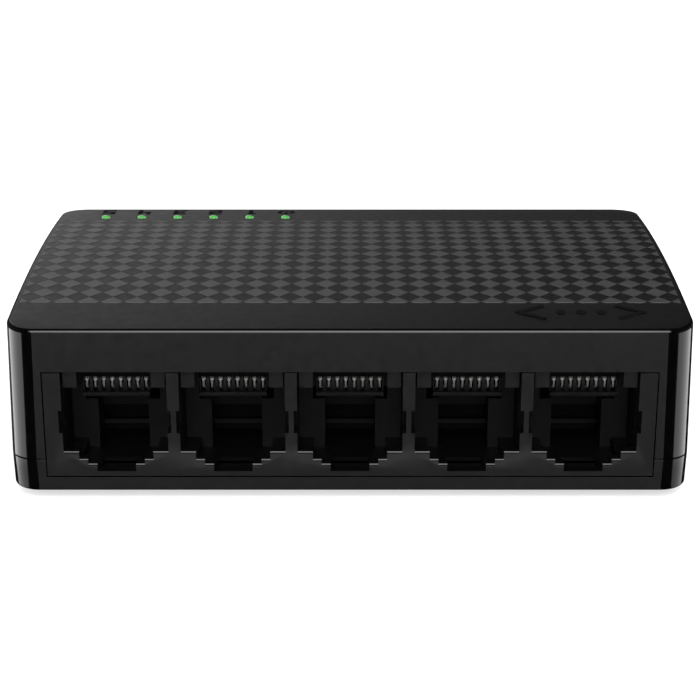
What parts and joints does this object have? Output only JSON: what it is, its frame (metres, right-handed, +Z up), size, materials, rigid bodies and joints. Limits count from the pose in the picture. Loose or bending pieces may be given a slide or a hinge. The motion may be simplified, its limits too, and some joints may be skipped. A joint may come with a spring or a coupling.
{
  "type": "desktop network switch",
  "caption": "Small desktop network switch in a black arched plastic case, with a row of modular jacks in the front wall, status lights in the roof and a barrel power inlet behind.",
  "frame": {"origin": "centre of the outline in plan, on the plane the feet stand on", "axes": "+Z up, +X along the row of ports, the ports face -Y and the power inlet faces +Y"},
  "size_m": [0.082, 0.0514, 0.0229],
  "materials": {
    "case_plastic": "glossy injection-moulded black, matte texture on the roof",
    "foot_rubber": "matte",
    "screw_steel": "zinc plated",
    "label_film": "printed film, blank",
    "board_laminate": "solder mask over glass laminate",
    "jack_plastic": "satin moulded black",
    "insert_plastic": "satin moulded black",
    "contact_metal": "bright plated wire",
    "plated_metal": "nickel plated",
    "light_guide_plastic": "clear moulded plastic, lit green",
    "led_package": "satin",
    "chip_black": "moulded epoxy",
    "can_metal": "drawn metal can",
    "ferrite": "sintered ferrite",
    "capacitor_can": "aluminium can",
    "ceramic": "ceramic with tinned ends"
  },
  "bodies": {
    "case": {"top_cover": "case_plastic", "base_cover": "case_plastic", "rubber_feet": "foot_rubber", "case_screws": "screw_steel", "rating_label": "label_film", "circuit_board": "board_laminate", "rj45_housing": "jack_plastic", "power_jack_housing": "jack_plastic", "power_jack_pin": "plated_metal", "power_jack_contact": "plated_metal", "light_guide": "light_guide_plastic", "port_leds": "led_package", "power_led": "led_package", "switch_chip": "chip_black", "crystal": "can_metal", "rectifier_diode": "chip_black", "regulator": "chip_black", "power_inductor": "ferrite", "input_capacitors": "capacitor_can", "chip_capacitors": "ceramic", "chip_resistors": "chip_black", "port_1_insert": "insert_plastic", "port_1_leads": "contact_metal", "isolation_transformer_1": "chip_black", "port_2_insert": "insert_plastic", "port_2_leads": "contact_metal", "isolation_transformer_2": "chip_black", "port_3_insert": "insert_plastic", "port_3_leads": "contact_metal", "isolation_transformer_3": "chip_black", "port_4_insert": "insert_plastic", "port_4_leads": "contact_metal", "isolation_transformer_4": "chip_black", "port_5_insert": "insert_plastic", "port_5_leads": "contact_metal", "isolation_transformer_5": "chip_black"},
    "port_1_contacts": {"port_1_springs": "contact_metal"},
    "port_2_contacts": {"port_2_springs": "contact_metal"},
    "port_3_contacts": {"port_3_springs": "contact_metal"},
    "port_4_contacts": {"port_4_springs": "contact_metal"},
    "port_5_contacts": {"port_5_springs": "contact_metal"},
    "inlet_leaf": {"power_jack_spring": "plated_metal"}
  },
  "joints": [
    {"name": "port_1_contact_flex", "type": "hinge", "parent": "case", "child": "port_1_contacts", "pos_m": [-0.028, -0.0215, 0.0136], "axis": [1, 0, 0], "range_deg": [0, 13], "stiffness_Nm_per_rad": 0.05, "springref_deg": -2.86},
    {"name": "port_2_contact_flex", "type": "hinge", "parent": "case", "child": "port_2_contacts", "pos_m": [-0.014, -0.0215, 0.0136], "axis": [1, 0, 0], "range_deg": [0, 13], "stiffness_Nm_per_rad": 0.05, "springref_deg": -2.86},
    {"name": "port_3_contact_flex", "type": "hinge", "parent": "case", "child": "port_3_contacts", "pos_m": [0, -0.0215, 0.0136], "axis": [1, 0, 0], "range_deg": [0, 13], "stiffness_Nm_per_rad": 0.05, "springref_deg": -2.86},
    {"name": "port_4_contact_flex", "type": "hinge", "parent": "case", "child": "port_4_contacts", "pos_m": [0.014, -0.0215, 0.0136], "axis": [1, 0, 0], "range_deg": [0, 13], "stiffness_Nm_per_rad": 0.05, "springref_deg": -2.86},
    {"name": "port_5_contact_flex", "type": "hinge", "parent": "case", "child": "port_5_contacts", "pos_m": [0.028, -0.0215, 0.0136], "axis": [1, 0, 0], "range_deg": [0, 13], "stiffness_Nm_per_rad": 0.05, "springref_deg": -2.86},
    {"name": "inlet_leaf_flex", "type": "hinge", "parent": "case", "child": "inlet_leaf", "pos_m": [0.024, 0.017, 0.0082], "axis": [-1, 0, 0], "range_deg": [0, 5], "stiffness_Nm_per_rad": 0.05, "springref_deg": -2.86}
  ]
}
